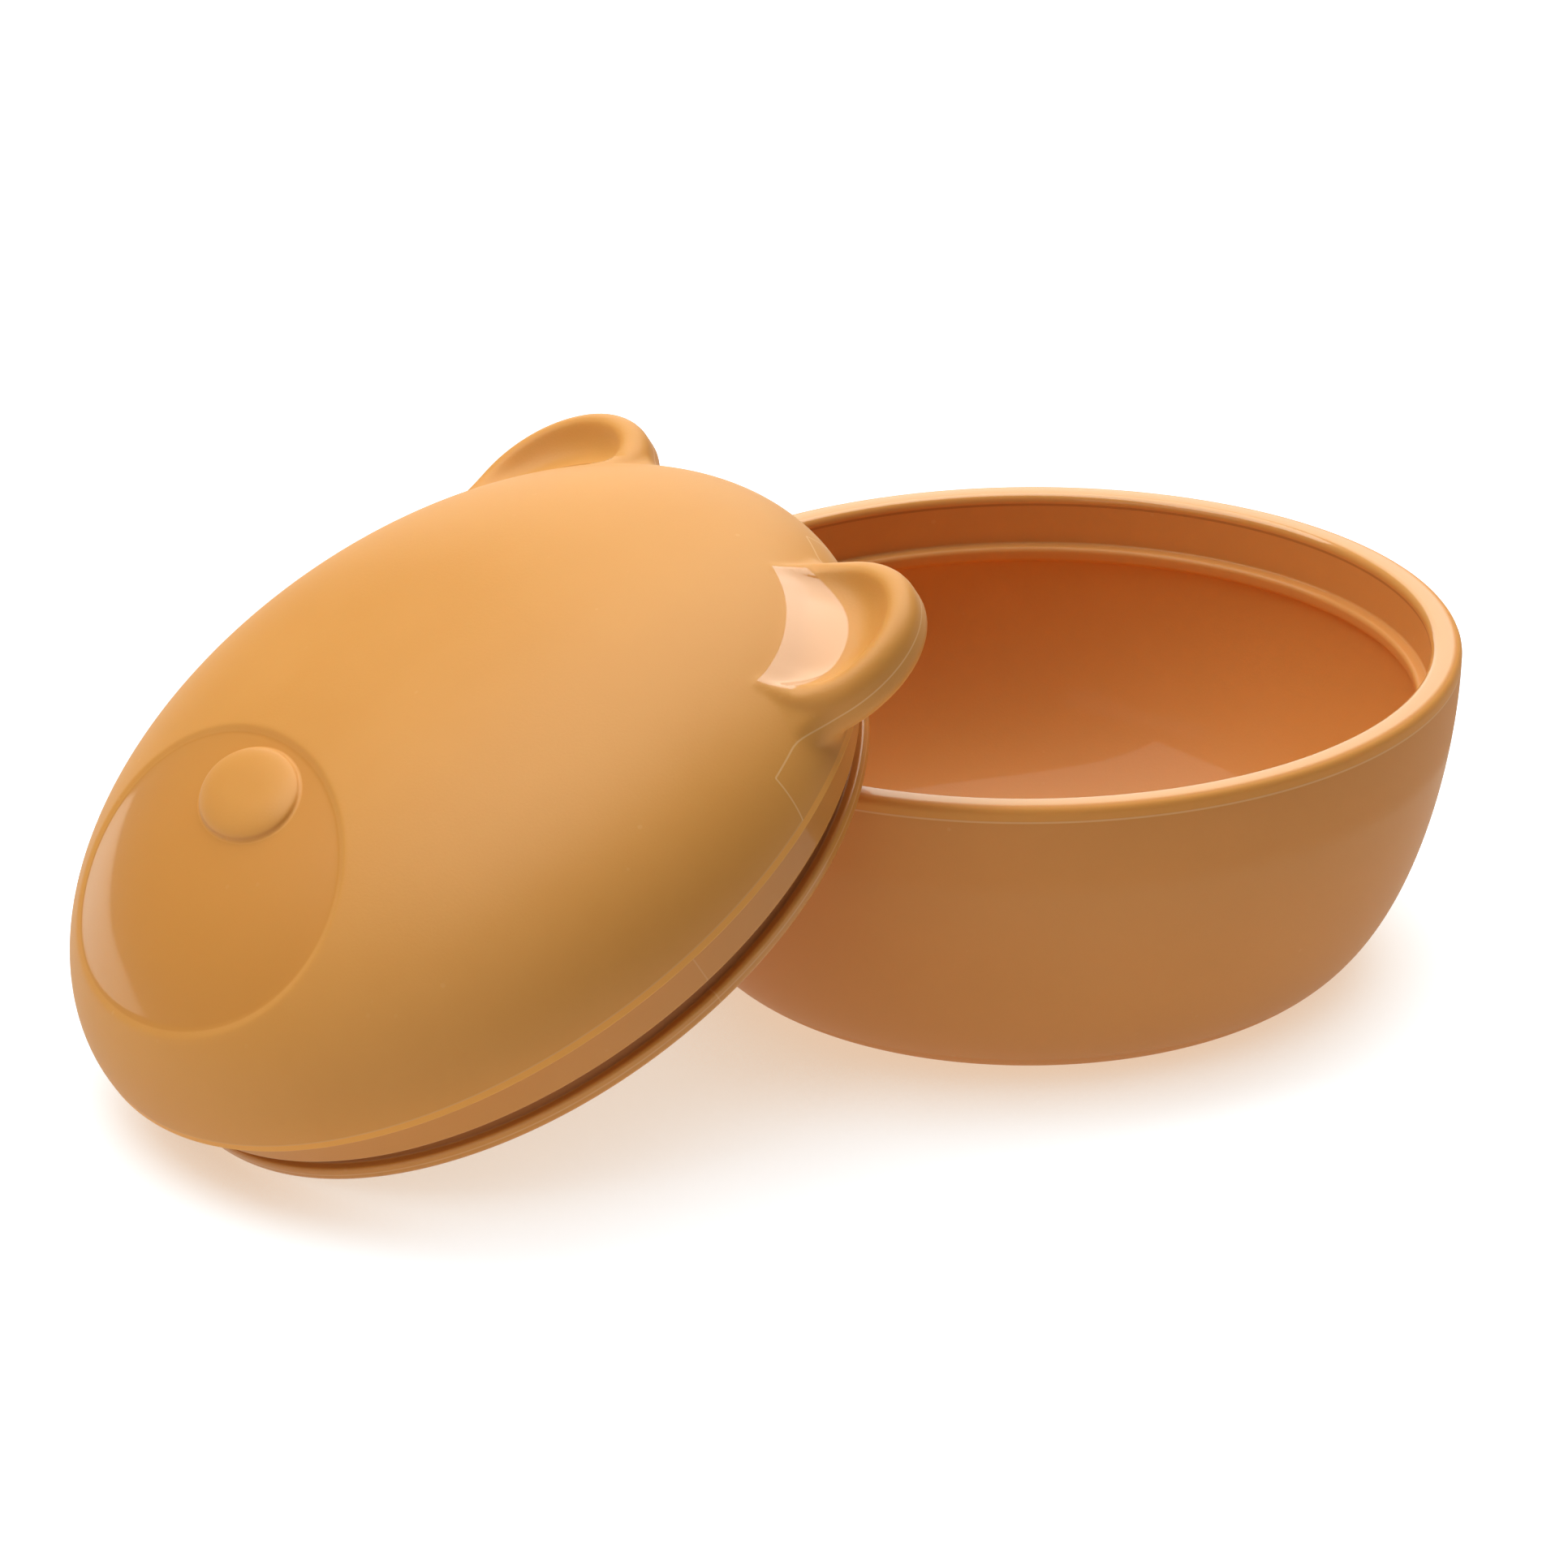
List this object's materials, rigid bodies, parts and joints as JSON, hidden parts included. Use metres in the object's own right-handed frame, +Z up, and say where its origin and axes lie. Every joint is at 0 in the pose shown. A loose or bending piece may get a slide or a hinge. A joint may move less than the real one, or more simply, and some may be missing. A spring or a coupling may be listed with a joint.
{
  "type": "food container",
  "caption": "Round soft food bowl with a domed bear-face lid that pushes into its rim, shown with the lid off and leaning on the bowl",
  "frame": {"origin": "middle of the bowl's flat base, on the table", "axes": "+Z up; +Y runs from the leaning lid's chin past its ears to the bowl; +X to the right of that"},
  "size_m": [0.118, 0.1967, 0.0769],
  "materials": {
    "silicone_bowl": "matte outside, glossy rim",
    "silicone_lid": "matte dome, glossy muzzle and ear dishes"
  },
  "bodies": {
    "bowl": {"bowl": "silicone_bowl"},
    "lid": {"lid": "silicone_lid"}
  },
  "joints": [
    {"name": "lid_lift", "type": "slide", "parent": "bowl", "child": "lid", "axis": [0, 0, 1], "range_m": [0, 0.08]}
  ]
}
